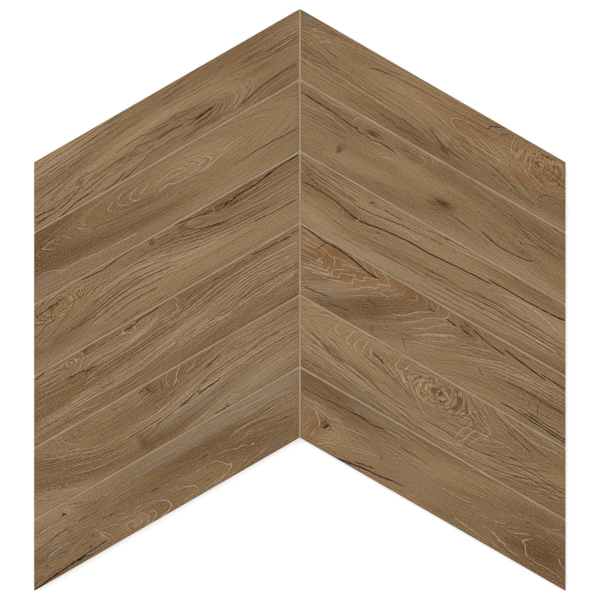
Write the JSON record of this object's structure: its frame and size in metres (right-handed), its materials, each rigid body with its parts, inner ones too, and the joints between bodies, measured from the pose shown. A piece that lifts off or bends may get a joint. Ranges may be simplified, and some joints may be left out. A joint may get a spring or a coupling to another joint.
{
  "type": "chevron porcelain tile sheet",
  "caption": "Chevron-shaped sheet of wood-look porcelain planks with mitred ends, grouted joints and a backing net, for tiling a floor or wall.",
  "frame": {"origin": "centre of the bounding box, at the bottom: on the underside of the backing net, on the centre joint", "axes": "+Z out of the face, +Y along the centre joint towards the point of the chevron, +X to the right when the point is up"},
  "size_m": [0.3776, 0.4136, 0.0084],
  "materials": {
    "porcelain": "matte, printed and embossed like brown oak",
    "grout": "fine sandy cement, beige",
    "net": "white coated glass-fibre threads"
  },
  "bodies": {
    "root": {"plank_left_1": "porcelain", "plank_left_2": "porcelain", "plank_left_3": "porcelain", "plank_left_4": "porcelain", "plank_left_5": "porcelain", "plank_left_6": "porcelain", "plank_right_1": "porcelain", "plank_right_2": "porcelain", "plank_right_3": "porcelain", "plank_right_4": "porcelain", "plank_right_5": "porcelain", "plank_right_6": "porcelain", "grout": "grout", "backing_net": "net"}
  },
  "joints": []
}
